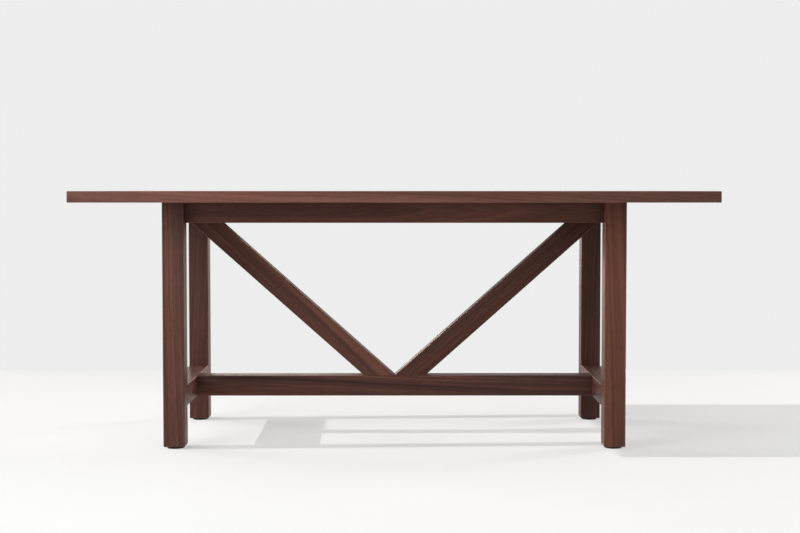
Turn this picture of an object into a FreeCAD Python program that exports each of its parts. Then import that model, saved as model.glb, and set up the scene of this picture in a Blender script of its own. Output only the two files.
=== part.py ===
import FreeCAD
import Part
import Sketcher
import os
import re

# Farmhouse trestle table: an edge-glued plank top on a leg frame with a V-braced spine.
# X runs along the table, Y from front to rear, Z up; the origin is on the floor under its centre.

doc = FreeCAD.newDocument("FarmhouseTable")

# Driving dimensions, in millimetres
DIMENSIONS = {
    # overall
    "table_height": 762.0,
    "top_length": 1829.0,
    "top_depth": 1016.0,
    "top_thickness": 32.0,
    "end_overhang": 232.0,
    "side_overhang": 205.5,
    "timber": 63.5,
    "edge_ease": 1.5,
    # upper rails
    "apron_height": 62.0,
    "apron_thickness": 25.0,
    "apron_setback": 35.0,
    # lower rails and braces
    "stretcher_clearance": 120.5,
    "brace_heel": 21.0,
    # mortise and tenon joints
    "tenon_height": 40.0,
    "tenon_shift": 4.0,
    "apron_tenon_length": 18.0,
    "apron_tenon_thickness": 10.0,
    "rail_tenon_length": 38.0,
    "spine_tenon_length": 30.0,
    "rail_tenon_thickness": 20.0,
    "loose_tenon_width": 30.0,
    "loose_tenon_thickness": 12.0,
    "loose_tenon_depth": 22.0,
    "foot_tenon_inset": 58.0,
    "head_tenon_inset": 37.0,
    "tenon_clearance": 0.1,
    "mortise_spare": 1.0,
    # clips that hold the top down and let it swell across the grain
    "clip_sheet": 2.0,
    "clip_width": 25.0,
    "clip_tongue": 10.0,
    "clip_flange": 26.0,
    "clip_drop": 12.0,
    "kerf_width": 2.6,
    "kerf_depth": 12.0,
    "apron_clip_centre": 190.0,
    "apron_clip_end": 99.0,
    "rail_clip_offset": 85.0,
    # levelling feet
    "pad_diameter": 50.0,
    "pad_top_diameter": 44.0,
    "pad_rim_height": 3.0,
    "pad_height": 6.0,
    "pad_gap": 0.5,
    "pad_floor": 1.5,
    "stem_diameter": 8.0,
    "stem_head_diameter": 15.0,
    "stem_head_height": 2.5,
    "stem_reach": 40.0,
    "collar_flats": 13.0,
    "collar_gap": 0.3,
    "counterbore_diameter": 24.0,
    "counterbore_depth": 5.0,
    "insert_diameter": 12.0,
    "insert_length": 20.0,
    "stem_bore_spare": 4.0,
    "swivel_play": 0.08,
    "thread_fit": 0.05,
}
BOARDS = 6

sizes = doc.addObject("Spreadsheet::Sheet", "Sizes")
for row, (alias, value) in enumerate(DIMENSIONS.items(), start=1):
    sizes.set(f"A{row}", alias)
    sizes.set(f"B{row}", str(value))
    sizes.setAlias(f"B{row}", alias)
doc.recompute()

# Heights and half widths that several pieces share
LEG_FOOT = "(pad_height + pad_gap)"
RAIL_TOP = "(table_height - top_thickness)"
APRON_FOOT = f"({RAIL_TOP} - apron_height)"
STRETCHER_TOP = "(stretcher_clearance + timber)"
OUTER_X = "(top_length / 2 - end_overhang)"
OUTER_Y = "(top_depth / 2 - side_overhang)"
INNER_X = f"({OUTER_X} - timber)"
INNER_Y = f"({OUTER_Y} - timber)"
APRON_Y = f"({OUTER_Y} - apron_setback - apron_thickness / 2)"
END_X = f"({OUTER_X} - timber / 2)"
LEG_Y = f"({OUTER_Y} - timber / 2)"
SLACK = "(2 * tenon_clearance)"


def sheet_names(text):
    """Point each dimension's name in an expression at its cell."""
    return re.sub(r"[a-z_]+", lambda word: "Sizes." + word[0] if word[0] in DIMENSIONS else word[0], text)


def bind(item, **expressions):
    for path, text in expressions.items():
        item.setExpression(path.replace("__", "."), sheet_names(text))


def place(item, x="0", y="0", z="0", turn=0):
    """Stand a piece at its place in the table, turned about the vertical."""
    item.Placement = FreeCAD.Placement(FreeCAD.Vector(), FreeCAD.Rotation(FreeCAD.Vector(0, 0, 1), turn))
    bind(item, Placement__Base__x=x, Placement__Base__y=y, Placement__Base__z=z)


def new_body(label):
    body = doc.addObject("PartDesign::Body", label)
    body.Label = label
    return body


def new_sketch(body, name, plane, x="0", y="0", lift="0"):
    """Sketch on one of a body's own planes; x and y shift it in that plane and lift along its normal."""
    sketch = body.newObject("Sketcher::SketchObject", f"{body.Name}_{name}_sketch")
    support = next(item for item in body.Origin.OriginFeatures if item.Role == plane)
    sketch.AttachmentSupport = (support, [""])
    sketch.MapMode = "FlatFace"
    bind(sketch, AttachmentOffset__Base__x=x, AttachmentOffset__Base__y=y, AttachmentOffset__Base__z=lift)
    return sketch


def value_of(text):
    """What an expression comes to with the sheet's present values."""
    return float(sizes.evalExpression(sheet_names(text)))


def dimension(sketch, kind, *geometry, size):
    """Add a named dimension to a sketch and bind it to an expression."""
    index = sketch.addConstraint(Sketcher.Constraint(kind, *geometry, value_of(size)))
    sketch.renameConstraint(index, f"{kind}_{index}")
    bind(sketch, **{f"Constraints__{kind}_{index}": size})


def rectangle(sketch, width, height):
    """Rectangle centred on the sketch's origin."""
    corners = [FreeCAD.Vector(x, y, 0) for x, y in ((-5, -5), (5, -5), (5, 5), (-5, 5))]
    for start, end in zip(corners, corners[1:] + corners[:1]):
        sketch.addGeometry(Part.LineSegment(start, end))
    for line in range(4):
        sketch.addConstraint(Sketcher.Constraint("Coincident", line, 2, (line + 1) % 4, 1))
        sketch.addConstraint(Sketcher.Constraint("Vertical" if line % 2 else "Horizontal", line))
    sketch.addConstraint(Sketcher.Constraint("Symmetric", 0, 1, 1, 2, -1, 1))
    dimension(sketch, "DistanceX", 0, 1, 0, 2, size=width)
    dimension(sketch, "DistanceY", 1, 1, 1, 2, size=height)
    return sketch


def circle(sketch, diameter):
    sketch.addGeometry(Part.Circle(FreeCAD.Vector(), FreeCAD.Vector(0, 0, 1), 5.0))
    sketch.addConstraint(Sketcher.Constraint("Coincident", 0, 3, -1, 1))
    dimension(sketch, "Diameter", 0, size=diameter)
    return sketch


def hexagon(sketch, flats):
    """Hexagon about the sketch's origin, given by its size across the flats."""
    corners = [FreeCAD.Vector(6, 0, 0)]
    for step in range(5):
        corners.append(FreeCAD.Rotation(FreeCAD.Vector(0, 0, 1), 60).multVec(corners[-1]))
    for start, end in zip(corners, corners[1:] + corners[:1]):
        sketch.addGeometry(Part.LineSegment(start, end))
    rim = sketch.addGeometry(Part.Circle(FreeCAD.Vector(), FreeCAD.Vector(0, 0, 1), 6.0), True)
    sketch.addConstraint(Sketcher.Constraint("Coincident", rim, 3, -1, 1))
    for line in range(6):
        sketch.addConstraint(Sketcher.Constraint("Coincident", line, 2, (line + 1) % 6, 1))
        sketch.addConstraint(Sketcher.Constraint("PointOnObject", line, 1, rim))
    for line in range(1, 6):
        sketch.addConstraint(Sketcher.Constraint("Equal", 0, line))
    sketch.addConstraint(Sketcher.Constraint("PointOnObject", 0, 1, -1))
    dimension(sketch, "Diameter", rim, size=f"{flats} / cos(30)")
    return sketch


def outline(sketch, points):
    """Closed outline through points whose coordinates, none negative, are expressions."""
    corners = [FreeCAD.Vector(value_of(x), value_of(y), 0) for x, y in points]
    for start, end in zip(corners, corners[1:] + corners[:1]):
        sketch.addGeometry(Part.LineSegment(start, end))
    for line, (x, y) in enumerate(points):
        sketch.addConstraint(Sketcher.Constraint("Coincident", line, 2, (line + 1) % len(points), 1))
        for kind, text, axis in (("DistanceX", x, -2), ("DistanceY", y, -1)):
            if text == "0":
                sketch.addConstraint(Sketcher.Constraint("PointOnObject", line, 1, axis))
            else:
                dimension(sketch, kind, -1, 1, line, 1, size=text)
    return sketch


def feature(body, kind, name, sketch, length=None, both_ways=False, flip=False):
    """Pad or pocket a sketch, or turn it about its own upright axis when no length is given."""
    item = body.newObject("PartDesign::" + kind, f"{body.Name}_{name}")
    item.Profile = sketch
    item.Reversed = flip
    if length is None:
        item.ReferenceAxis = (sketch, ["V_Axis"])
        item.Angle = 360.0
    else:
        item.Midplane = both_ways
        bind(item, Length=length)
    doc.recompute()
    return item


# Two places or directions closer than this count as one
NEAR = 1e-4


def ease(body, base, wanted):
    """Take the sharp arris off those edges of a feature that the test accepts."""
    chamfer = body.newObject("PartDesign::Chamfer", f"{body.Name}_eased")
    arrises = [f"Edge{number}" for number, edge in enumerate(base.Shape.Edges, start=1) if wanted(edge)]
    chamfer.Base = (base, arrises)
    bind(chamfer, Size="edge_ease")
    doc.recompute()


def along(direction):
    """Test for a straight edge that runs in a direction."""
    def runs(edge):
        return edge.tangentAt(edge.FirstParameter).cross(FreeCAD.Vector(*direction)).Length < NEAR
    return runs


# Top: boards glued edge to edge, grain along the table
BOARD_WIDTH = f"(top_depth / {BOARDS})"


def top_board(number):
    """One board; only the arrises on the outside of the finished top are eased."""
    body = new_body(f"top_board_{number}")
    face = rectangle(new_sketch(body, "blank", "XY_Plane"), "top_length", BOARD_WIDTH)
    blank = feature(body, "Pad", "blank", face, "top_thickness")
    half = blank.Shape.BoundBox
    outer_sides = {1: [half.YMin], BOARDS: [half.YMax]}.get(number, [])

    def outside(edge):
        middle = edge.CenterOfMass
        on_side = any(abs(middle.y - side) < NEAR for side in outer_sides)
        on_end = abs(abs(middle.x) - half.XMax) < NEAR
        upright = abs(middle.z - half.ZLength / 2) < NEAR
        return on_side or (on_end and not upright)

    ease(body, blank, outside)
    place(body, y=f"({number} - {(BOARDS + 1) / 2}) * {BOARD_WIDTH}", z=RAIL_TOP)
    return body


boards = [top_board(number) for number in range(1, BOARDS + 1)]


# Rails: squared timbers with a centred tenon at each end, modelled along X about their own centres
def rail(label, length, thickness, height, tenon_length, tenon_thickness):
    body = new_body(label)
    section = rectangle(new_sketch(body, "blank", "YZ_Plane"), thickness, height)
    blank = feature(body, "Pad", "blank", section, length, both_ways=True)
    ease(body, blank, along((1, 0, 0)))
    tenons = new_sketch(body, "tenons", "YZ_Plane", y="-tenon_shift")
    rectangle(tenons, tenon_thickness, "tenon_height")
    feature(body, "Pad", "tenons", tenons, f"{length} + 2 * {tenon_length}", both_ways=True)
    return body


def mortise(body, name, plane, x, y, lift, width, height, depth, flip=False):
    """Pocket for a tenon of this width and height, with the joint's clearance all round."""
    sketch = new_sketch(body, name, plane, x, y, lift)
    rectangle(sketch, f"{width} + {SLACK}", f"{height} + {SLACK}")
    feature(body, "Pocket", name, sketch, f"{depth} + mortise_spare", flip=flip)


def kerf(body, length, face):
    """Saw kerf for the clips along one face of an upper rail."""
    height = "apron_height / 2 - clip_drop - clip_sheet / 2"
    sketch = new_sketch(body, "kerf", "XZ_Plane", y=height, lift=f"-{face}")
    feature(body, "Pocket", "kerf", rectangle(sketch, length, "kerf_width"), "kerf_depth", flip=True)


SPINE_LENGTH = f"(2 * {INNER_X})"
CROSS_LENGTH = f"(2 * {INNER_Y})"
UPPER_MIDDLE = f"({RAIL_TOP} - apron_height / 2)"
LOWER_MIDDLE = "(stretcher_clearance + timber / 2)"


def apron(label, side, turn):
    body = rail(label, SPINE_LENGTH, "apron_thickness", "apron_height",
                "apron_tenon_length", "apron_tenon_thickness")
    kerf(body, SPINE_LENGTH, "apron_thickness / 2")
    place(body, y=f"{side} * {APRON_Y}", z=UPPER_MIDDLE, turn=turn)
    return body


def end_rail(label, side, turn):
    """Upper cross rail between two legs, mortised in its inner face for the centre rail."""
    body = rail(label, CROSS_LENGTH, "timber", "apron_height", "rail_tenon_length", "rail_tenon_thickness")
    kerf(body, CROSS_LENGTH, "timber / 2")
    mortise(body, "spine", "XZ_Plane", "0", "-tenon_shift", "-timber / 2",
            "rail_tenon_thickness", "tenon_height", "spine_tenon_length", flip=True)
    place(body, x=f"{side} * {END_X}", z=UPPER_MIDDLE, turn=turn)
    return body


def cross_stretcher(label, side, turn):
    """Lower cross rail between two legs, mortised in its inner face for the long stretcher."""
    body = rail(label, CROSS_LENGTH, "timber", "timber", "rail_tenon_length", "rail_tenon_thickness")
    mortise(body, "spine", "XZ_Plane", "0", "-tenon_shift", "-timber / 2",
            "rail_tenon_thickness", "tenon_height", "spine_tenon_length", flip=True)
    place(body, x=f"{side} * {END_X}", z=LOWER_MIDDLE, turn=turn)
    return body


front_apron = apron("front_apron", -1, 0)
rear_apron = apron("rear_apron", 1, 180)
left_end_rail = end_rail("left_end_rail", -1, -90)
right_end_rail = end_rail("right_end_rail", 1, 90)
left_cross_stretcher = cross_stretcher("left_cross_stretcher", -1, -90)
right_cross_stretcher = cross_stretcher("right_cross_stretcher", 1, 90)

# Spine: the long stretcher below and the centre rail above, which the braces stand between
HEAD_TENON_X = f"({INNER_X} - head_tenon_inset)"
SIDES = (("left", -1), ("right", 1))

centre_rail = rail("centre_rail", SPINE_LENGTH, "timber", "apron_height",
                   "spine_tenon_length", "rail_tenon_thickness")
for side, sign in SIDES:
    mortise(centre_rail, f"{side}_brace", "XY_Plane", f"{sign} * {HEAD_TENON_X}", "0", "-apron_height / 2",
            "loose_tenon_width", "loose_tenon_thickness", "loose_tenon_depth", flip=True)
place(centre_rail, z=UPPER_MIDDLE)

long_stretcher = rail("long_stretcher", SPINE_LENGTH, "timber", "timber",
                      "spine_tenon_length", "rail_tenon_thickness")
for side, sign in SIDES:
    mortise(long_stretcher, f"{side}_brace", "XY_Plane", f"{sign} * foot_tenon_inset", "0", "timber / 2",
            "loose_tenon_width", "loose_tenon_thickness", "loose_tenon_depth")
place(long_stretcher, z=LOWER_MIDDLE)

# Braces: square timbers leaning out from the middle of the stretcher to the heads of the end frames.
# Both ends are cut level; the feet meet on the table's centre line, and loose tenons hold each end.
BRACE_RISE = f"({APRON_FOOT} - {STRETCHER_TOP})"
BRACE_HEEL_X = f"({INNER_X} + brace_heel)"


def brace(label, turn):
    body = new_body(label)
    sketch = new_sketch(body, "side", "XZ_Plane")
    foot, lower, head, upper = range(4)
    reach, rise = value_of(BRACE_HEEL_X), value_of(BRACE_RISE)
    width = value_of("1.5 * timber")
    corners = ((0, 0), (width, 0), (reach, rise), (reach - width, rise))
    corners = [FreeCAD.Vector(x, y, 0) for x, y in corners]
    for start, end in zip(corners, corners[1:] + corners[:1]):
        sketch.addGeometry(Part.LineSegment(start, end))
    for line in range(4):
        sketch.addConstraint(Sketcher.Constraint("Coincident", line, 2, (line + 1) % 4, 1))
    sketch.addConstraint(Sketcher.Constraint("Coincident", foot, 1, -1, 1))
    sketch.addConstraint(Sketcher.Constraint("Horizontal", foot))
    sketch.addConstraint(Sketcher.Constraint("Horizontal", head))
    sketch.addConstraint(Sketcher.Constraint("Parallel", lower, upper))
    dimension(sketch, "DistanceX", -1, 1, lower, 2, size=BRACE_HEEL_X)
    dimension(sketch, "DistanceY", -1, 1, lower, 2, size=BRACE_RISE)
    dimension(sketch, "Distance", foot, 1, lower, size="timber")
    blank = feature(body, "Pad", "blank", sketch, "timber", both_ways=True)
    lean = max(blank.Shape.Edges, key=lambda edge: edge.Length)
    ease(body, blank, along(lean.tangentAt(lean.FirstParameter)))
    mortise(body, "foot", "XY_Plane", "foot_tenon_inset", "0", "0",
            "loose_tenon_width", "loose_tenon_thickness", "loose_tenon_depth", flip=True)
    mortise(body, "head", "XY_Plane", HEAD_TENON_X, "0", BRACE_RISE,
            "loose_tenon_width", "loose_tenon_thickness", "loose_tenon_depth")
    place(body, z=STRETCHER_TOP, turn=turn)
    return body


left_brace = brace("left_brace", 180)
right_brace = brace("right_brace", 0)


def group(label, master, places):
    """Several copies of one small piece in one node, each at (x, y, z, turn)."""
    links = []
    for index, (x, y, z, turn) in enumerate(places, start=1):
        link = doc.addObject("App::Link", f"{label}_{index}")
        link.LinkedObject = master
        place(link, x, y, z, turn)
        links.append(link)
    whole = doc.addObject("Part::Compound", label)
    whole.Label = label
    whole.Links = links
    return whole


loose_tenon = new_body("loose_tenon")
tenon_section = new_sketch(loose_tenon, "blank", "XY_Plane")
rectangle(tenon_section, "loose_tenon_width", "loose_tenon_thickness")
feature(loose_tenon, "Pad", "blank", tenon_section, "2 * loose_tenon_depth", both_ways=True)
brace_tenons = group("brace_tenons", loose_tenon, [
    (f"{sign} * {x}", "0", z, 0)
    for side, sign in SIDES
    for x, z in (("foot_tenon_inset", STRETCHER_TOP), (HEAD_TENON_X, APRON_FOOT))
])

# Legs: square posts, modelled about their own axis from the lower end up
LEG_LENGTH = f"({RAIL_TOP} - {LEG_FOOT})"
APRON_TENON_Z = f"({UPPER_MIDDLE} - tenon_shift - {LEG_FOOT})"
STRETCHER_TENON_Z = f"({LOWER_MIDDLE} - tenon_shift - {LEG_FOOT})"


def bore(body, name, diameter, start, depth):
    """Round hole up into the lower end of a leg."""
    sketch = circle(new_sketch(body, name, "XY_Plane", lift=start), diameter)
    feature(body, "Pocket", name, sketch, depth, flip=True)


def leg(label, hand, x_side, y_side, turn):
    """Leg whose rails enter from behind and whose apron enters its right (hand 1) or left (hand -1) face."""
    body = new_body(label)
    section = rectangle(new_sketch(body, "blank", "XY_Plane"), "timber", "timber")
    blank = feature(body, "Pad", "blank", section, LEG_LENGTH)
    upright = along((0, 0, 1))
    ease(body, blank, lambda edge: upright(edge) or edge.CenterOfMass.z < NEAR)
    mortise(body, "apron", "YZ_Plane", f"{LEG_Y} - {APRON_Y}", APRON_TENON_Z, f"{hand} * timber / 2",
            "apron_tenon_thickness", "tenon_height", "apron_tenon_length", flip=hand < 0)
    for name, height in (("end_rail", APRON_TENON_Z), ("stretcher", STRETCHER_TENON_Z)):
        mortise(body, name, "XZ_Plane", "0", height, "-timber / 2",
                "rail_tenon_thickness", "tenon_height", "rail_tenon_length", flip=True)
    bore(body, "counterbore", "counterbore_diameter", "0", "counterbore_depth")
    bore(body, "foot_bore", "insert_diameter", "counterbore_depth", "stem_reach + stem_bore_spare")
    place(body, f"{x_side} * {END_X}", f"{y_side} * {LEG_Y}", LEG_FOOT, turn)
    return body


CORNERS = (("front_left", 1, -1, -1, 0), ("front_right", -1, 1, -1, 0),
           ("rear_left", -1, -1, 1, 180), ("rear_right", 1, 1, 1, 180))
legs = [leg(f"leg_{corner}", *rest) for corner, *rest in CORNERS]

# Top clips: pressed steel, a tongue in the rail's kerf and a flange screwed up against the top.
# A clip is modelled with its riser against the rail's face at x 0 and its foot at the kerf's height.
clip = new_body("top_clip")
CLIP_RISE = "(clip_drop + clip_sheet)"
clip_side = outline(new_sketch(clip, "side", "XZ_Plane", x="-clip_tongue"), [
    ("0", "0"),
    ("clip_tongue + clip_sheet", "0"),
    ("clip_tongue + clip_sheet", f"{CLIP_RISE} - clip_sheet"),
    ("clip_tongue + clip_flange", f"{CLIP_RISE} - clip_sheet"),
    ("clip_tongue + clip_flange", CLIP_RISE),
    ("clip_tongue", CLIP_RISE),
    ("clip_tongue", "clip_sheet"),
    ("0", "clip_sheet"),
])
feature(clip, "Pad", "strip", clip_side, "clip_width", both_ways=True)

# Clips stand along both aprons and both end rails
APRON_FACE = f"({OUTER_Y} - apron_setback - apron_thickness)"
APRON_CLIP_X = [
    f"{sign} * {x}"
    for x in ("apron_clip_centre", f"({INNER_X} - apron_clip_end)")
    for side, sign in SIDES
]
RAIL_CLIP_Y = [f"{sign} * rail_clip_offset" for side, sign in SIDES]
CLIP_Z = f"({RAIL_TOP} - {CLIP_RISE})"

clip_places = [
    (x, f"{y_sign} * {APRON_FACE}", CLIP_Z, turn)
    for y_sign, turn in ((-1, 90), (1, -90))
    for x in APRON_CLIP_X
]
clip_places += [
    (f"{x_sign} * {INNER_X}", y, CLIP_Z, turn)
    for x_sign, turn in ((-1, 0), (1, 180))
    for y in RAIL_CLIP_Y
]
top_clips = group("top_clips", clip, clip_places)

# Levelling feet, modelled from the floor up: a nylon pad turns on the headed end of a steel stem,
# whose hexagonal collar sits in the leg's counterbore and whose shank runs in a threaded insert
HEAD_FOOT = "pad_floor"
HEAD_TOP = "(pad_floor + stem_head_height)"
COLLAR_FOOT = "(pad_height + collar_gap)"
COLLAR_TOP = f"({LEG_FOOT} + counterbore_depth - collar_gap)"
INSERT_FOOT = f"({LEG_FOOT} + counterbore_depth)"

insert = new_body("leg_insert")
WALL_RADIUS = "(insert_diameter + stem_diameter) / 4 + thread_fit / 2"
WALL_THICKNESS = "(insert_diameter - stem_diameter) / 2 - thread_fit"
insert_ring = new_sketch(insert, "wall", "XZ_Plane", x=WALL_RADIUS, y="insert_length / 2")
rectangle(insert_ring, WALL_THICKNESS, "insert_length")
wall = insert.newObject("PartDesign::Revolution", "leg_insert_turned")
wall.Profile = insert_ring
wall.ReferenceAxis = (next(item for item in insert.Origin.OriginFeatures if item.Role == "Z_Axis"), [""])
wall.Angle = 360.0
leg_inserts = group("leg_inserts", insert, [
    (f"{x_side} * {END_X}", f"{y_side} * {LEG_Y}", INSERT_FOOT, 0)
    for corner, hand, x_side, y_side, turn in CORNERS
])


def foot_stem(label, x_side, y_side):
    body = new_body(label)
    side = outline(new_sketch(body, "side", "XZ_Plane"), [
        ("0", HEAD_FOOT),
        ("stem_head_diameter / 2", HEAD_FOOT),
        ("stem_head_diameter / 2", HEAD_TOP),
        ("stem_diameter / 2", HEAD_TOP),
        ("stem_diameter / 2", f"{COLLAR_TOP} + stem_reach"),
        ("0", f"{COLLAR_TOP} + stem_reach"),
    ])
    feature(body, "Revolution", "turned", side)
    collar = hexagon(new_sketch(body, "collar", "XY_Plane", lift=COLLAR_FOOT), "collar_flats")
    feature(body, "Pad", "collar", collar, f"{COLLAR_TOP} - {COLLAR_FOOT}")
    place(body, f"{x_side} * {END_X}", f"{y_side} * {LEG_Y}")
    return body


def foot_pad(label, x_side, y_side):
    """Low dome with a cavity that holds the stem's head with a little play."""
    body = new_body(label)
    side = outline(new_sketch(body, "side", "XZ_Plane"), [
        ("0", "0"),
        ("pad_diameter / 2", "0"),
        ("pad_diameter / 2", "pad_rim_height"),
        ("pad_top_diameter / 2", "pad_height"),
        ("stem_diameter / 2 + swivel_play", "pad_height"),
        ("stem_diameter / 2 + swivel_play", f"{HEAD_TOP} + swivel_play"),
        ("stem_head_diameter / 2 + swivel_play", f"{HEAD_TOP} + swivel_play"),
        ("stem_head_diameter / 2 + swivel_play", f"{HEAD_FOOT} - swivel_play"),
        ("0", f"{HEAD_FOOT} - swivel_play"),
    ])
    feature(body, "Revolution", "turned", side)
    place(body, f"{x_side} * {END_X}", f"{y_side} * {LEG_Y}")
    return body


stems = []
pads = []
for corner, hand, x_side, y_side, turn in CORNERS:
    stems.append(foot_stem(f"stem_{corner}", x_side, y_side))
    pads.append(foot_pad(f"pad_{corner}", x_side, y_side))

# Every feature has to have computed, and every piece has to be a sound solid, before a file is written
doc.recompute()
pieces = boards + legs + stems + pads + [
    front_apron, rear_apron, left_end_rail, right_end_rail, centre_rail, left_cross_stretcher,
    right_cross_stretcher, long_stretcher, left_brace, right_brace, brace_tenons, top_clips, leg_inserts,
]
for item in doc.Objects:
    if "Invalid" in item.State or "Error" in item.State:
        raise RuntimeError(f"{item.Label} did not compute")
for piece in pieces:
    if piece.Shape.isNull() or not piece.Shape.isValid():
        raise RuntimeError(f"{piece.Label} has no sound shape")

os.makedirs("parts", exist_ok=True)
for piece in pieces:
    piece.Shape.exportStep(f"parts/{piece.Label}.step")
    box = piece.Shape.BoundBox
    print(f"{piece.Label}: {len(piece.Shape.Solids)} solids, {piece.Shape.Volume / 1000:.1f} cm3,"
          f" x {box.XMin:.1f}..{box.XMax:.1f},"
          f" y {box.YMin:.1f}..{box.YMax:.1f}, z {box.ZMin:.1f}..{box.ZMax:.1f}")
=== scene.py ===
import bpy
from math import asin, atan2, cos, hypot, pi, radians, sin
from mathutils import Euler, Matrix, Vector


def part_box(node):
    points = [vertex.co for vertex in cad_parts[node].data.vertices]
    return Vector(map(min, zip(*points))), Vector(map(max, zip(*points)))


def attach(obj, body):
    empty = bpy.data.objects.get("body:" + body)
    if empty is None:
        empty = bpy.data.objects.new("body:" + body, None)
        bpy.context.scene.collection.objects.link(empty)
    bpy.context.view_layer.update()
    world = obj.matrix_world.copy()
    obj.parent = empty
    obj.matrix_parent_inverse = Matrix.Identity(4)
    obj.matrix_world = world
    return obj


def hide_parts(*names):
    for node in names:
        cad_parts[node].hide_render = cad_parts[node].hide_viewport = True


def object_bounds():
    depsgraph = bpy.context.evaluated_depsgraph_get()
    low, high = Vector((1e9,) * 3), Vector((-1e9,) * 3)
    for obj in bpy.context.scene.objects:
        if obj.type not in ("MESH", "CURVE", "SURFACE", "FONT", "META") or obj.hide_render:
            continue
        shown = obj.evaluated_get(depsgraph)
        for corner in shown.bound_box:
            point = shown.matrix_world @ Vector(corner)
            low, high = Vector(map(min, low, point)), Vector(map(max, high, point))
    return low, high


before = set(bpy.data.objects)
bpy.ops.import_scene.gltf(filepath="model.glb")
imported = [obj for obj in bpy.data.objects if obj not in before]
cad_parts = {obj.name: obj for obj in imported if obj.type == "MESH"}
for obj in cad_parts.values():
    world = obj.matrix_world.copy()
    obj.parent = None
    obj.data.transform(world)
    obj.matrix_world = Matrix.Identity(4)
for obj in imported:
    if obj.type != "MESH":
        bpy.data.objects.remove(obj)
cad_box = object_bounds()


# The four legs are squared walnut posts with eased arrises, sanded and lacquered to a satin sheen. Each has
# mortises for an apron, an end rail and a cross stretcher, and stands on a levelling foot screwed up into it.
class Wire:
    """One output of a node. Arithmetic on it adds Math nodes to its tree."""

    def __init__(self, tree, socket=None):
        self.tree = tree
        self.socket = socket

    def add(self, kind, settings, sockets, result=0):
        """Adds a node: its settings first, then the value, the wire or the list of wires of each socket."""
        node = self.tree.nodes.new(kind)
        for name, value in settings.items():
            if name == "stops":
                stops = node.color_ramp.elements
                while len(stops) < len(value):
                    stops.new(0.5)
                for stop, (place, colour) in zip(stops, value):
                    stop.position = place
                    stop.color = (*colour, 1.0)
            else:
                setattr(node, name, value)
        for name, value in sockets.items():
            for source in value if isinstance(value, list) else [value]:
                if isinstance(source, Wire):
                    self.tree.links.new(source.socket, node.inputs[name])
                else:
                    node.inputs[name].default_value = source
        return Wire(self.tree, node.outputs[result] if node.outputs else None)

    def beside(self, result):
        """Another output of the same node."""
        return Wire(self.tree, self.socket.node.outputs[result])

    def math(self, operation, *others):
        """A Math node on this wire and the others."""
        return self.add("ShaderNodeMath", {"operation": operation}, dict(enumerate((self, *others))))

    def __add__(self, other):
        return self.math("ADD", other)

    def __sub__(self, other):
        return self.math("SUBTRACT", other)

    def __rsub__(self, other):
        return self.add("ShaderNodeMath", {"operation": "SUBTRACT"}, {0: other, 1: self})

    def __mul__(self, other):
        return self.math("MULTIPLY", other)

    def __truediv__(self, other):
        return self.math("DIVIDE", other)

    def __rtruediv__(self, other):
        return self.add("ShaderNodeMath", {"operation": "DIVIDE"}, {0: other, 1: self})

    def __abs__(self):
        return self.math("ABSOLUTE")

    __radd__ = __add__
    __rmul__ = __mul__

    def swing(self, amount):
        """Noise of 0 to 1 as a change of that amount, up and down."""
        return (self - 0.5) * amount

    def step(self, start, end):
        """0 before start and 1 past end, with a soft change between them."""
        return self.add("ShaderNodeMapRange", {"interpolation_type": "SMOOTHSTEP"},
                        {"Value": self, "From Min": start, "From Max": end})

    def ramp(self, *stops):
        """Colours at places along the wire's value."""
        return self.add("ShaderNodeValToRGB", {"stops": stops}, {"Fac": self}, "Color")

    def mixed(self, share, colour, kind="MIX"):
        """The wire's colour with a share of another one mixed in."""
        other = colour if isinstance(colour, Wire) else (*colour, 1.0)
        return self.add("ShaderNodeMix", {"data_type": "RGBA", "blend_type": kind},
                        {0: share, 6: self, 7: other}, 2)

    def placed(self, shift, turn=(0.0, 0.0, 0.0)):
        """The piece's own coordinates, turned and then shifted."""
        here = self.add("ShaderNodeTexCoord", {}, {}, "Object")
        return self.add("ShaderNodeMapping", {}, {"Vector": here, "Rotation": turn, "Location": shift})

    def scaled(self, scale, shift=(0.0, 0.0, 0.0)):
        """The wire's point, scaled along each axis and then shifted."""
        return self.add("ShaderNodeVectorMath", {"operation": "MULTIPLY_ADD"}, {0: self, 1: scale, 2: shift})

    def cloud(self, detail, result="Fac", rough=0.5):
        """Noise at the wire's point."""
        return self.add("ShaderNodeTexNoise", {},
                        {"Vector": self, "Scale": 1.0, "Detail": detail, "Roughness": rough}, result)

    def grains(self, fineness, detail, shift=(0.0, 0.0, 0.0)):
        """Noise that is as fine in every direction: about so many grains to the metre."""
        return self.scaled((fineness, fineness, fineness), shift).cloud(detail)


def blank_material(name):
    """A new material with no nodes, and the Wire that they start from."""
    material = bpy.data.materials.new(name)
    material.use_nodes = True
    material.node_tree.nodes.clear()
    return material, Wire(material.node_tree)


def coat(start, colour, rough, relief, strength, depth, gloss=0.5, metal=0.0):
    """Joins a finish's colour, roughness and relief to its surface. Gloss and metal are the same all over."""
    bump = start.add("ShaderNodeBump", {},
                     {"Strength": strength, "Distance": depth, "Height": relief}, "Normal")
    surface = start.add("ShaderNodeBsdfPrincipled", {}, {
        "Base Color": colour, "Roughness": rough, "Normal": bump, "Specular IOR Level": gloss,
        "Metallic": metal})
    start.add("ShaderNodeOutputMaterial", {}, {"Surface": surface})


def dress(node, material):
    """Gives a CAD node its finish."""
    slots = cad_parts[node].data.materials
    slots.clear()
    slots.append(material)


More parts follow.
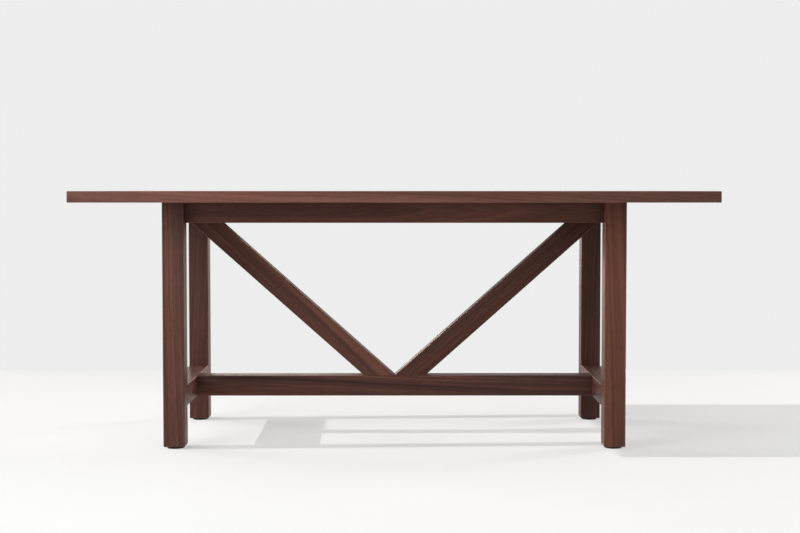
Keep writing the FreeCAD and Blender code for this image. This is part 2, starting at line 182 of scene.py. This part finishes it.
ALONG_X = (0.0, 0.0, 0.0)
ALONG_Y = (0.0, 0.0, radians(-90))
ALONG_Z = (0.0, radians(90), 0.0)
RING_WIDTH = 0.0050
RING_WAVER = 0.0045
HEART_SWAY = 0.055
LOG_TAPER = 0.028
LOG_STRIDE = (2.3, 5.1, 3.7)
LATE_WOOD_CURVE = 2.6
BASE_TONES = [(0.044, 0.0168, 0.0118), (0.095, 0.0358, 0.0248), (0.158, 0.0622, 0.0432)]
RED_TONES = [(0.045, 0.0160, 0.0104), (0.097, 0.0340, 0.0218), (0.161, 0.0591, 0.0380)]
PLAIN_TONES = [(0.064, 0.0226, 0.0146), (0.097, 0.0340, 0.0218), (0.138, 0.0500, 0.0322)]
COOL_TINT = (0.93, 1.00, 1.08)
WARM_TINT = (1.07, 0.99, 0.91)
PORE_BROWN = (0.018, 0.0075, 0.006)
END_GRAIN_TINT = (0.50, 0.46, 0.44)
GLUE_LINE_TINT = (0.30, 0.27, 0.25)
PORE_DEPTH = 0.00022
WORN_AND_HIGHLIT_ARRIS = (0.0004, 0.0030)
GLUE_LINE = (0.0002, 0.0008)
LACQUER_GLOSS = 0.2


def walnut(node, turn, pith, seed, fair=1.0, tones=BASE_TONES, section=None, aside=0.0, glued=None):
    """Walnut for one timber, with its grain turned to run along it. Pith is where the tree's heart lies
    across the grain, and the seed picks the place in the log that the timber was sawn from. A fair timber is
    paler than the tones. The section is the planed width and height across the grain, where it isn't the
    node's own, and its middle lies aside of the node's. Boards of the glued width show a hairline at their
    joints."""
    dark, brown, pale = [tuple(part * fair for part in tone) for tone in tones]
    low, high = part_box(node)
    turned = Euler(turn).to_matrix()
    long, *across = [sum(abs(part) * side for part, side in zip(row, high - low)) for row in turned]
    wide, tall = section or across
    material, start = blank_material("walnut_" + node)
    point = start.placed(-(turned @ ((low + high) / 2)), turn)
    length = start.add("ShaderNodeSeparateXYZ", {}, {0: point}, "X")
    breadth = length.beside("Y")
    height = length.beside("Z")
    in_the_log = Vector(LOG_STRIDE) * seed

    def along(stretch, fineness, detail, result="Fac", rough=0.5):
        """Noise drawn out along the grain, with about so many marks to the metre along it and across it."""
        return point.scaled((stretch, fineness, fineness), in_the_log).cloud(detail, result, rough)

    def on_rings(stretch, fineness, layer, detail, rough=0.5):
        """Noise that follows the growth rings, with its marks along the grain and across the rings."""
        place = {0: length * stretch, 1: radius * fineness, 2: seed * layer}
        return start.add("ShaderNodeCombineXYZ", {}, place).cloud(detail, rough=rough)

    # Growth rings lie round the heart, which wanders a little along the log, and narrow as the log tapers
    to_heart = (0.0, *(-HEART_SWAY / 2 - part for part in pith))
    sway = along(0.9, 2.2, 1.0, "Color").scaled((0.0, HEART_SWAY, HEART_SWAY), to_heart)
    from_heart = point.scaled((0.0, 1.0, 1.0), sway)
    radius = start.add("ShaderNodeVectorMath", {"operation": "LENGTH"}, {0: from_heart}, "Value")
    radius = radius + along(7.0, 16.0, 2.0).swing(RING_WAVER) + length * LOG_TAPER
    rings = radius / RING_WIDTH
    late_wood = rings.math("FRACT").math("POWER", LATE_WOOD_CURVE)
    year = start.add("ShaderNodeTexWhiteNoise", {"noise_dimensions": "1D"}, {"W": rings.math("FLOOR")})

    # Darker and paler streaks follow the rings, and fibres and open pores run along the timber
    streak = on_rings(0.7, 95.0, 3.1, 4.0, 0.62)
    wide_streak = on_rings(0.5, 26.0, 1.7, 2.0)
    fibre = along(9.0, 700.0, 3.0, rough=0.7)
    pores = along(42.0, 1700.0, 1.0).step(0.56, 0.70) * (1.0 - late_wood * 0.75)
    ripple = along(26.0, 6.0, 2.0)
    tone = (0.55 + streak.swing(1.7) + wide_streak.swing(0.75) + year.swing(0.16) + fibre.swing(0.85)
            + ripple.swing(0.16) - late_wood * 0.17)
    tint = along(0.9, 14.0, 3.0).ramp((0.32, COOL_TINT), (0.68, WARM_TINT))
    colour = tone.ramp((0.08, dark), (0.5, brown), (0.92, pale)).mixed(1.0, tint, "MULTIPLY")
    colour = colour.mixed(pores * 0.62, PORE_BROWN)

    # The arrises are painted paler, partly as rubbed wear and partly as a painted highlight where light
    # catches the eased edges, and the sawn ends drink in more stain
    to_side = wide / 2 - abs(breadth - aside)
    to_face = tall / 2 - abs(height)
    to_end = long / 2 - abs(length)
    nearer = to_side.math("MINIMUM", to_face)
    farther = to_side.math("MAXIMUM", to_face)
    to_arris = nearer.math("MAXIMUM", farther.math("MINIMUM", to_end))
    worn_and_highlit = 1.0 - (to_arris + along(30.0, 30.0, 2.0).swing(0.003)).step(*WORN_AND_HIGHLIT_ARRIS)
    colour = colour.mixed(worn_and_highlit * 0.30, [part * 1.5 + 0.012 for part in pale])
    outward = start.add("ShaderNodeTexCoord", {}, {}, "Normal")
    facing = start.add("ShaderNodeVectorMath", {"operation": "DOT_PRODUCT"},
                       {0: outward, 1: turned[0]}, "Value")
    end_grain = abs(facing).step(0.75, 0.9)
    colour = colour.mixed(end_grain * 0.75, END_GRAIN_TINT, "MULTIPLY")

    if glued:
        hairline = (1.0 - (glued / 2 - abs(breadth)).step(*GLUE_LINE)) * to_side.step(0.001, 0.003)
        colour = colour.mixed(hairline * 0.8, GLUE_LINE_TINT, "MULTIPLY")

    rough = (0.46 + fibre.swing(0.16) + pores * 0.14 + ripple.swing(0.10) + end_grain * 0.16
             - worn_and_highlit * 0.05)
    relief = fibre * 0.35 - pores * 0.9 - late_wood * 0.25
    coat(start, colour, rough, relief, strength=0.55, depth=PORE_DEPTH, gloss=LACQUER_GLOSS)
    dress(node, material)


walnut("leg_front_left", ALONG_Z, pith=(0.04, 0.13), seed=4.33, fair=1.10)
walnut("leg_front_right", ALONG_Z, pith=(-0.09, 0.08), seed=5.33, fair=1.36, tones=PLAIN_TONES)
walnut("leg_rear_left", ALONG_Z, pith=(0.06, -0.12), seed=3.0, fair=0.95)
# The rear right leg is painted darker than the other legs: painted shade for the shade that the table casts
# on it.
walnut("leg_rear_right", ALONG_Z, pith=(-0.05, -0.10), seed=4.0, fair=0.74, tones=RED_TONES)


# The end rails and the cross stretchers are walnut timbers tenoned between the two legs of each end, one
# flush under the top and one low down, to make the two end frames.
walnut("left_end_rail", ALONG_Y, pith=(0.07, 0.06), seed=5.0)
walnut("right_end_rail", ALONG_Y, pith=(-0.08, 0.05), seed=6.0)
walnut("left_cross_stretcher", ALONG_Y, pith=(0.03, -0.09), seed=7.0)
walnut("right_cross_stretcher", ALONG_Y, pith=(-0.06, -0.07), seed=8.0)


# The long stretcher is a walnut timber on the table's middle plane, tenoned at both ends into the cross
# stretchers. The centre rail is its fellow under the top, tenoned into the end rails.
STREAKY_TONES = [(0.034, 0.0126, 0.0086), (0.095, 0.0358, 0.0248), (0.200, 0.0790, 0.0540)]
walnut("long_stretcher", ALONG_X, pith=(0.04, -0.12), seed=9.74, fair=0.72, tones=STREAKY_TONES)
walnut("centre_rail", ALONG_X, pith=(0.05, 0.07), seed=10.0)


# The two braces are walnut timbers that lean out from the middle of the long stretcher to the centre rail's
# ends. Their ends are cut level, and a loose walnut tenon glued into both timbers holds each of them.
brace_foot, brace_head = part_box("right_brace")
brace_run, brace_thick, brace_rise = brace_head - brace_foot
BRACE = (brace_thick, brace_thick)
TENON = (0.012, 0.030)
LEAN = atan2(brace_rise, brace_run) + asin(brace_thick / hypot(brace_run, brace_rise))
walnut("left_brace", (0.0, -LEAN, 0.0), pith=(0.03, -0.12), seed=14.33, section=BRACE)
# The right brace is painted darker than the left one: painted shade for light from the left that the table
# keeps off it.
walnut("right_brace", (0.0, LEAN, 0.0), pith=(-0.03, -0.12), seed=15.33, fair=0.73, tones=RED_TONES,
       section=BRACE)
walnut("brace_tenons", ALONG_Z, pith=(0.09, 0.02), seed=13.0, section=TENON)


# The aprons are thinner walnut boards on edge, set back from the legs' outer faces. A tenon at each end is
# glued into a leg, and a saw kerf along the inner face takes the tongues of the top's clips.
walnut("front_apron", ALONG_X, pith=(0.06, 0.01), seed=16.59, fair=1.06)
walnut("rear_apron", ALONG_X, pith=(0.03, -0.05), seed=15.0)


# The top is six walnut boards glued edge to edge, planed to one thickness, eased round the outside and
# lacquered like the base. Each board was sawn from another part of a log, so their figure differs.
TOP_TONES = [(0.053, 0.0207, 0.0146), (0.114, 0.0445, 0.0315), (0.186, 0.0755, 0.0540)]
boards = [((0.03, -0.07), 25.9, 1.16), ((-0.05, -0.06), 22.0, 0.99), ((0.01, -0.05), 23.0, 1.19),
          ((0.06, -0.09), 24.0, 0.93), ((-0.02, -0.055), 25.0, 1.15), ((0.04, -0.08), 26.0, 1.00)]
top_width = cad_box[1][1] - cad_box[0][1]
for number, (heart, log_seed, fairness) in enumerate(boards, 1):
    board = f"top_board_{number}"
    board_low, board_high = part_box(board)
    whole_top = (top_width, board_high.z - board_low.z)
    board_middle = (board_low.y + board_high.y) / 2
    board_width = board_high.y - board_low.y
    walnut(board, ALONG_X, pith=heart, seed=log_seed, fair=fairness, tones=TOP_TONES, section=whole_top,
           aside=-board_middle, glued=board_width)


# Twelve clips hold the top down: strips of zinc-plated steel bent to a Z, with a tongue in a saw kerf inside
# the frame and a flange flat under the top, so that the boards can still move.
DULL_ZINC = (0.40, 0.41, 0.43)
BRIGHT_ZINC = (0.60, 0.61, 0.62)
PLATING_DEPTH = 0.00005


def zinc_steel(name, middle=(0.0, 0.0)):
    """Bright zinc plating: faintly clouded, with the fine lines of rolled steel under it."""
    material, start = blank_material(name)
    point = start.placed((-middle[0], -middle[1], 0.0))
    crystals = point.grains(420.0, 2.0)
    smudges = point.grains(60.0, 3.0, (3.0, 1.0, 2.0))
    rolled_lines = point.scaled((1800.0, 90.0, 90.0)).cloud(1.0)
    colour = (crystals * 0.5 + smudges * 0.5).ramp((0.3, DULL_ZINC), (0.7, BRIGHT_ZINC))
    rough = 0.30 + smudges.swing(0.25) + crystals.swing(0.12)
    relief = crystals * 0.5 + rolled_lines * 0.5
    coat(start, colour, rough, relief, strength=0.25, depth=PLATING_DEPTH, metal=1.0)
    return material


dress("top_clips", zinc_steel("clip_steel"))


# A short pan-head wood screw of zinc-plated steel goes up through each clip's flange into the top. Its head
# is turned with a domed edge and a cross recess, and each is driven home to a turn of its own.
def put_in(name, data):
    """A new object in the scene, at the origin."""
    thing = bpy.data.objects.new(name, data)
    bpy.context.scene.collection.objects.link(thing)
    return thing


CLIP_SHEET = 0.002
SCREW_INSET = 0.015
INNER_CLIP = 0.190
OUTER_CLIP_FROM_LEG = 0.099
RAIL_CLIP = 0.085
leg_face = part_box("leg_front_right")[0].x
apron_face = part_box("rear_apron")[0].y
flange_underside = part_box("top_clips")[1].z - CLIP_SHEET
outer_clip = leg_face - OUTER_CLIP_FROM_LEG
screw_places = [(x, side * (apron_face - SCREW_INSET), flange_underside)
                for side in (-1, 1) for x in (-outer_clip, -INNER_CLIP, INNER_CLIP, outer_clip)]
screw_places += [(side * (leg_face - SCREW_INSET), y, flange_underside)
                 for side in (-1, 1) for y in (-RAIL_CLIP, RAIL_CLIP)]
screw_points = bpy.data.meshes.new("screw_places")
screw_points.from_pydata(screw_places, [], [])
clip_screws = put_in("clip_screws", screw_points)

screw_sizes = {"Head diameter": 0.0080, "Head height": 0.0024, "Recess width": 0.0011, "Recess span": 0.0044}
screw_given = {**screw_sizes, "Seed": 7}
screw_tree = bpy.data.node_groups.new("driven_screws", "GeometryNodeTree")
screw_tree.interface.new_socket("Places", in_out="INPUT", socket_type="NodeSocketGeometry")
for name in screw_sizes:
    screw_tree.interface.new_socket(name, in_out="INPUT", socket_type="NodeSocketFloat")
screw_tree.interface.new_socket("Seed", in_out="INPUT", socket_type="NodeSocketInt")
screw_tree.interface.new_socket("Screws", in_out="OUTPUT", socket_type="NodeSocketGeometry")
places = Wire(screw_tree).add("NodeGroupInput", {}, {}, "Places")
head_wide = places.beside("Head diameter")
head_tall = places.beside("Head height")
recess_wide = places.beside("Recess width")
recess_span = places.beside("Recess span")


def lowered(shape, share):
    """A shape moved down by a share of the head's height."""
    down = shape.add("ShaderNodeCombineXYZ", {}, {"Z": head_tall * -share})
    return shape.add("GeometryNodeTransform", {}, {"Geometry": shape, "Translation": down})


def bar(x, y, z):
    """A square bar of the cross that cuts the recess."""
    size = places.add("ShaderNodeCombineXYZ", {}, {"X": x, "Y": y, "Z": z})
    return places.add("GeometryNodeMeshCube", {}, {"Size": size})


SCREW_SIDES = 24
RIM_SHARE = 0.45
CROWN_SHARE = 0.33
RECESS_SHARE = 0.5
BAR_SHARE = 0.9
UNION = {"operation": "UNION", "solver": "EXACT"}
DIFFERENCE = {"operation": "DIFFERENCE", "solver": "EXACT"}
rim = places.add("GeometryNodeMeshCylinder", {}, {
    "Vertices": SCREW_SIDES, "Radius": head_wide * 0.5, "Depth": head_tall * RIM_SHARE})
dome = places.add("GeometryNodeMeshCone", {}, {
    "Vertices": SCREW_SIDES, "Radius Top": head_wide * 0.5, "Radius Bottom": head_wide * CROWN_SHARE,
    "Depth": head_tall * (1.0 - RIM_SHARE)})
head = places.add("GeometryNodeMeshBoolean", UNION, {1: [lowered(rim, RIM_SHARE / 2), lowered(dome, 1.0)]})
bar_tall = head_tall * BAR_SHARE
cross = places.add("GeometryNodeMeshBoolean", UNION, {
    1: [bar(recess_span, recess_wide, bar_tall), bar(recess_wide, recess_span, bar_tall)]})
cross = lowered(cross, 1.0 - RECESS_SHARE + BAR_SHARE / 2)
head = places.add("GeometryNodeMeshBoolean", DIFFERENCE, {0: head, 1: cross})
drive = places.add("FunctionNodeRandomValue", {"data_type": "FLOAT"},
                   {2: 0.0, 3: pi, "Seed": places.beside("Seed")}, 1)
driven = places.add("GeometryNodeInstanceOnPoints", {}, {
    "Points": places, "Instance": head, "Rotation": places.add("ShaderNodeCombineXYZ", {}, {"Z": drive})})
driven = places.add("GeometryNodeRealizeInstances", {}, {"Geometry": driven})
driven = places.add("GeometryNodeSetMaterial", {}, {
    "Geometry": driven, "Material": zinc_steel("screw_steel")})
places.add("NodeGroupOutput", {}, {"Screws": driven})

driving = clip_screws.modifiers.new("driving", "NODES")
driving.node_group = screw_tree
for item in screw_tree.interface.items_tree:
    if item.in_out == "INPUT" and item.name in screw_given:
        driving[item.identifier] = screw_given[item.name]
bpy.context.view_layer.update()
made = clip_screws.evaluated_get(bpy.context.evaluated_depsgraph_get())
clip_screws.data = bpy.data.meshes.new_from_object(made)
clip_screws.modifiers.remove(driving)
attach(clip_screws, "frame")


# Each leg holds a turned insert of zinc-plated steel, pressed into its bore above the counterbore. The stem
# of a levelling foot runs in it.
dress("leg_inserts", zinc_steel("insert_steel"))


# The stem of each foot is a bolt of zinc-plated steel: a round head that the pad turns on, a hexagonal collar
# for a spanner, and a shank with a rolled thread, which screws up and down in the leg's insert.
CORNERS = ("front_left", "front_right", "rear_left", "rear_right")
STEM_SIDES = 24
RINGS_PER_PITCH = 6
SHANK_RADIUS = 0.0040
STEM_HEAD_RADIUS = 0.0075
STEM_HEAD_HEIGHT = 0.0025
NECK = 0.0023
COLLAR_HEIGHT = 0.0049
COLLAR_FLATS = 0.013
COLLAR_CHAMFER = 0.0005
PITCH = 0.00125
THREAD_DEPTH = 0.00068
POINT_CHAMFER = 0.0008
SHARP_ARRIS = radians(28)
turns = [2 * pi * side / STEM_SIDES for side in range(STEM_SIDES)]


def hexagonal(turn):
    """The collar's radius at a turn, from its flats to its corners."""
    return COLLAR_FLATS / 2 / cos(turn % (pi / 3) - pi / 6)


def threaded(start, end, height, turn):
    """The shank's radius. Its groove climbs one pitch a turn and runs in at its start. The end is pointed."""
    phase = (height / PITCH - turn / (2 * pi)) % 1
    cut = THREAD_DEPTH * (1 - abs(2 * phase - 1)) * min(1, (height - start) / PITCH)
    return min(SHANK_RADIUS - cut, SHANK_RADIUS - POINT_CHAMFER + end - height)


def stem_rings(foot, top):
    """Height and radii of each ring of points, from the head's underside up to the shank's end."""
    neck = foot + STEM_HEAD_HEIGHT
    collar = neck + NECK
    shank = collar + COLLAR_HEIGHT
    plain = [SHANK_RADIUS] * STEM_SIDES
    round_head = [STEM_HEAD_RADIUS] * STEM_SIDES
    hexagon = [hexagonal(turn) for turn in turns]
    faced = [min(radius, COLLAR_FLATS / 2) for radius in hexagon]
    rings = [(foot, round_head), (neck, round_head), (neck, plain), (collar, plain), (collar, faced),
             (collar + COLLAR_CHAMFER, hexagon), (shank - COLLAR_CHAMFER, hexagon), (shank, faced),
             (shank, plain)]
    steps = round((top - shank) / PITCH * RINGS_PER_PITCH)
    for step in range(1, steps + 1):
        height = shank + (top - shank) * step / steps
        rings.append((height, [threaded(shank, top, height, turn) for turn in turns]))
    return rings


for corner in CORNERS:
    stem_foot, stem_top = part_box("stem_" + corner)
    axis = (stem_foot + stem_top) / 2
    rings = stem_rings(stem_foot.z, stem_top.z)
    points = [(axis.x + radius * cos(turn), axis.y + radius * sin(turn), height)
              for height, radii in rings for radius, turn in zip(radii, turns)]
    faces = [list(range(STEM_SIDES))[::-1], list(range(len(points) - STEM_SIDES, len(points)))]
    for ring in range(len(rings) - 1):
        for side in range(STEM_SIDES):
            here = ring * STEM_SIDES + side
            next_one = ring * STEM_SIDES + (side + 1) % STEM_SIDES
            faces.append([here, next_one, next_one + STEM_SIDES, here + STEM_SIDES])
    bolt = bpy.data.meshes.new("threaded_stem_" + corner)
    bolt.from_pydata(points, [], faces)
    bolt.shade_smooth()
    bolt.set_sharp_from_angle(angle=SHARP_ARRIS)
    bolt.materials.append(zinc_steel("stem_steel_" + corner, axis))
    stem = put_in("threaded_stem_" + corner, bolt)
    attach(stem, "stem_body_" + corner)
    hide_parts("stem_" + corner)


# The pads are moulded from black nylon, low and domed at the rim. Each is snapped over the head of its stem
# and swivels on it, and its underside stands on the floor.
NYLON_BLACK = (0.008, 0.008, 0.009)
NYLON_WORN = (0.018, 0.018, 0.019)
SCUFF_GREY = (0.10, 0.10, 0.10)
SCUFF_HEIGHT = 0.0022
MOULD_DEPTH = 0.0001


def black_nylon(name, middle):
    """Black moulded nylon with a fine spark-eroded texture, scuffed grey low on the rim."""
    material, start = blank_material(name)
    point = start.placed((-middle[0], -middle[1], 0.0))
    texture = point.grains(1500.0, 2.0)
    dust = point.grains(130.0, 4.0, (4.0, 2.0, 1.0))
    above_floor = start.add("ShaderNodeSeparateXYZ", {}, {0: point}, "Z")
    scuff = (1.0 - (above_floor + dust.swing(0.004)).step(0.0, SCUFF_HEIGHT)) * dust.step(0.45, 0.7)
    colour = (dust * 0.6 + texture * 0.4).ramp((0.3, NYLON_BLACK), (0.75, NYLON_WORN))
    colour = colour.mixed(scuff * 0.5, SCUFF_GREY)
    rough = 0.52 + texture.swing(0.2) + scuff * 0.2
    coat(start, colour, rough, texture, strength=0.4, depth=MOULD_DEPTH)
    return material


for corner in CORNERS:
    pad_low, pad_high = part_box("pad_" + corner)
    dress("pad_" + corner, black_nylon("pad_nylon_" + corner, (pad_low + pad_high) / 2))


# The floor is a plain pale screed, trowelled smooth and sealed matt. It is near white where the table stands
# and pale grey past a line behind it, and it takes the table's shadow.
FLOOR_REACH = 40.0
STAGE_BACK = 1.5
STAGE_BLEND = 0.12
NEAR_WHITE = (0.93, 0.93, 0.93)
PALE_GREY = (0.845, 0.850, 0.845)
SCREED_DARK = (0.78, 0.78, 0.78)
SCREED_PALE = (0.82, 0.82, 0.82)
BOUNCE_GREY = (0.45, 0.45, 0.45)
GLOW_SHARE = 0.40


def looked_at(start):
    """1 where the camera looks at it, also in a mirror or through glass, and 0 where it only gives light."""
    rays = start.add("ShaderNodeLightPath", {}, {}, "Is Camera Ray")
    rays = rays + rays.beside("Is Glossy Ray") + rays.beside("Is Transmission Ray")
    return rays.math("MINIMUM", 1.0)


ground = bpy.data.meshes.new("floor")
ground.from_pydata([(-FLOOR_REACH, -FLOOR_REACH, 0), (FLOOR_REACH, -FLOOR_REACH, 0),
                    (FLOOR_REACH, FLOOR_REACH, 0), (-FLOOR_REACH, FLOOR_REACH, 0)], [], [(0, 1, 2, 3)])
floor = put_in("floor", ground)
screed, ground_start = blank_material("pale_floor")
ground_point = ground_start.placed((0.0, 0.0, 0.0))
depth_back = ground_start.add("ShaderNodeSeparateXYZ", {}, {0: ground_point}, "Y")
behind = depth_back.step(STAGE_BACK - STAGE_BLEND, STAGE_BACK + STAGE_BLEND)
floor_seen = looked_at(ground_start)
matt = ground_point.grains(1.1, 4.0).ramp((0.3, SCREED_DARK), (0.7, SCREED_PALE))
matt = ground_start.add("ShaderNodeBsdfDiffuse", {}, {"Color": matt.mixed(1.0 - floor_seen, BOUNCE_GREY)})
pale = behind.ramp((0.0, NEAR_WHITE), (1.0, PALE_GREY))
glow = ground_start.add("ShaderNodeEmission", {}, {"Color": pale, "Strength": 1.0})
glow_share = floor_seen * (GLOW_SHARE + behind * (1.0 - GLOW_SHARE))
floor_shown = ground_start.add("ShaderNodeMixShader", {}, {0: glow_share, 1: matt, 2: glow})
ground_start.add("ShaderNodeOutputMaterial", {}, {"Surface": floor_shown})
ground.materials.append(screed)


# Light is plain and soft: an even pale room, two large lamps in front, one at each side and a panel behind
# for the sheen of the lacquer. A low key from the left draws the table's shadow along the floor.
FILL_WHITE = (0.97, 0.985, 1.0)
EVEN_FILL = 0.05
REAR_FILL = 0.60
CEILING_FILL = 0.14
LEFT_FILL = 0.40
RIGHT_FILL = 0.35
world = bpy.data.worlds.new("pale_room")
bpy.context.scene.world = world
world.use_nodes = True
world.node_tree.nodes.clear()
room = Wire(world.node_tree)
toward = room.add("ShaderNodeSeparateXYZ", {}, {0: room.add("ShaderNodeTexCoord", {}, {}, "Generated")}, "X")


def share(axis, sign):
    """How far a direction leans one way, from 0 to 1."""
    return (toward.beside(axis) * sign).math("MAXIMUM", 0.0)


strength = (EVEN_FILL + share("Y", 1.0) * REAR_FILL + share("Z", 1.0) * CEILING_FILL
            + share("X", -1.0) * LEFT_FILL + share("X", 1.0) * RIGHT_FILL)
fill = room.add("ShaderNodeBackground", {}, {"Color": (*FILL_WHITE, 1.0), "Strength": strength})
backdrop = room.add("ShaderNodeBackground", {}, {"Color": (*PALE_GREY, 1.0), "Strength": 1.0})
room_shown = room.add("ShaderNodeMixShader", {}, {0: looked_at(room), 1: fill, 2: backdrop})
room.add("ShaderNodeOutputWorld", {}, {"Surface": room_shown})

KEY_HEIGHT = radians(25)
KEY_TO_REAR = radians(2.8)
key = put_in("key", bpy.data.lights.new("key", "SUN"))
key.data.energy = 3.0
key.data.angle = radians(0.35)
key.data.color = (1.0, 0.97, 0.93)
key.visible_glossy = False
key_way = Vector((cos(KEY_HEIGHT) * cos(KEY_TO_REAR), cos(KEY_HEIGHT) * sin(KEY_TO_REAR), -sin(KEY_HEIGHT)))
key.rotation_euler = key_way.to_track_quat("-Z", "Y").to_euler()


def soft_lamp(name, size, energy, colour, place, aim, spread=180):
    """A flat lamp of a width and height, aimed at a point. The camera doesn't see it."""
    lamp = put_in(name, bpy.data.lights.new(name, "AREA"))
    lamp.data.shape = "RECTANGLE"
    lamp.data.size, lamp.data.size_y = size
    lamp.data.energy = energy
    lamp.data.color = colour
    lamp.data.spread = radians(spread)
    lamp.location = place
    lamp.rotation_euler = (Vector(aim) - Vector(place)).to_track_quat("-Z", "Y").to_euler()
    lamp.visible_camera = False
    return lamp


COOL_WHITE = (0.91, 0.96, 1.0)
WARM_WHITE = (1.0, 0.96, 0.91)
LAMP_WHITE = (1.0, 0.94, 0.86)
ROSY_WHITE = (1.0, 0.80, 0.70)
soft_lamp("front_left_lamp", size=(2.0, 2.0), energy=19.5, colour=COOL_WHITE, place=(-2.6, -2.4, 1.5),
          aim=(0.0, 0.0, 0.6), spread=80)
for side_name, side_x, side_energy in (("left_lamp", -6.2, 27.0), ("right_lamp", 6.2, 30.0)):
    side_lamp = soft_lamp(side_name, size=(2.4, 1.0), energy=side_energy, colour=WARM_WHITE,
                          place=(side_x, 3.0, 0.9), aim=(0.0, 0.0, 0.4), spread=40)
    side_lamp.visible_glossy = False
rear_panel = soft_lamp("rear_panel", size=(1.15, 0.5), energy=14.0, colour=ROSY_WHITE,
                       place=(-0.92, 4.0, 0.65), aim=(-0.92, 0.0, 0.65))
rear_panel.visible_diffuse = False
soft_lamp("front_right_lamp", size=(2.5, 2.5), energy=27.0, colour=LAMP_WHITE, place=(1.6, -3.0, 2.0),
          aim=(0.0, 0.0, 0.5))


# The camera stands in front of the table's middle, level with its top, and looks down a little. Its lens and
# place were fitted to the table's edges in the photograph.
CAMERA_PLACE = (0.008318, -4.5425613, 0.764995)
LOOK_DOWN = 2.5023
LOOK_RIGHT = 0.1092
camera = put_in("camera", bpy.data.cameras.new("camera"))
camera.data.sensor_width = 36.0
camera.data.lens = 65.027
camera.data.shift_y = -0.01658
camera.location = CAMERA_PLACE
camera.rotation_euler = (radians(90 - LOOK_DOWN), 0.0, radians(-LOOK_RIGHT))
bpy.context.scene.camera = camera
bpy.context.scene.view_settings.view_transform = "Standard"
